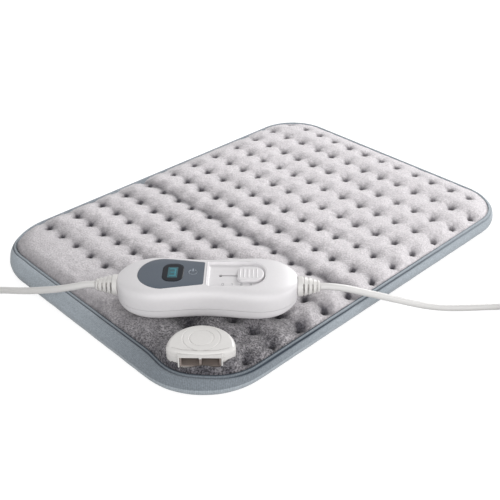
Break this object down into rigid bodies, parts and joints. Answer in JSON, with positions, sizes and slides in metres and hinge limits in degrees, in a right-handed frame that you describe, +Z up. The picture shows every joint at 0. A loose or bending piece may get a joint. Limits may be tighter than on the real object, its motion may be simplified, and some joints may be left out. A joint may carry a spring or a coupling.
{
  "type": "heating pad with controller",
  "caption": "Tufted plush heating pad with bound edge, a two-slot lead socket at one corner, and a waisted hand controller with a sliding heat selector and a lead at each end.",
  "frame": {"origin": "on the floor under the middle of the pad", "axes": "+X along the pad's long side, away from the socket's end; +Y along its short side, away from the socket's corner; +Z up"},
  "size_m": [0.6213, 0.5792, 0.0526],
  "materials": {
    "plush": "short warm grey plush with small sewn tufts",
    "lining_fabric": "plain woven grey underside",
    "binding_fabric": "blue grey woven tape, stitched",
    "carrier_fleece": "needled off-white fleece, inside",
    "wire_sleeve": "silicone sleeve of the heating wire, inside",
    "white_plastic": "satin white moulding",
    "warm_plastic": "satin warm white moulding",
    "socket_plastic": "matte brown black moulding",
    "panel_plastic": "satin slate panel",
    "window_plastic": "smoked clear window, reads as black",
    "board_laminate": "green circuit board, inside",
    "dark_plastic": "matte black moulding, inside",
    "relief_rubber": "soft off-white sleeve",
    "lead_sheath": "soft off-white lead sheath",
    "brass_contact": "plain brass contact",
    "steel": "plain steel screw"
  },
  "bodies": {
    "pad": {"top_cover": "plush", "bottom_cover": "lining_fabric", "edge_binding": "binding_fabric", "heating_carrier": "carrier_fleece", "heating_wire": "wire_sleeve", "temperature_limiter": "dark_plastic", "socket_backing_plate": "warm_plastic", "socket_base": "warm_plastic", "socket_cover": "warm_plastic", "socket_insert": "socket_plastic", "socket_contact_left": "brass_contact", "socket_contact_right": "brass_contact", "socket_screw_1": "steel", "socket_screw_2": "steel", "socket_screw_3": "steel", "socket_screw_4": "steel", "pad_lead": "lead_sheath", "pad_lead_coil": "lead_sheath", "pad_plug": "warm_plastic", "mains_lead": "lead_sheath", "mains_lead_coil": "lead_sheath", "mains_plug": "warm_plastic", "mains_pin_1": "brass_contact", "mains_pin_2": "brass_contact"},
    "controller": {"bottom_shell": "white_plastic", "top_shell": "white_plastic", "display_panel": "panel_plastic", "display_window": "window_plastic", "slider_tray": "white_plastic", "circuit_board": "board_laminate", "slide_switch": "dark_plastic", "display_module": "dark_plastic", "fuse": "steel", "triac": "dark_plastic", "capacitor": "dark_plastic", "terminal_block_pad": "warm_plastic", "terminal_block_mains": "warm_plastic", "strain_relief_pad": "relief_rubber", "strain_relief_mains": "relief_rubber", "case_screw_1": "steel", "case_screw_2": "steel", "case_screw_3": "steel", "case_screw_4": "steel"},
    "slider": {"slider_knob": "white_plastic", "slider_carriage": "dark_plastic"}
  },
  "joints": [
    {"name": "controller_lift", "type": "slide", "parent": "pad", "child": "controller", "axis": [0, 0, 1], "range_m": [0, 0.06]},
    {"name": "heat_slider", "type": "slide", "parent": "controller", "child": "slider", "axis": [-0.7071, 0.7071, 0], "range_m": [0, 0.0234]}
  ]
}
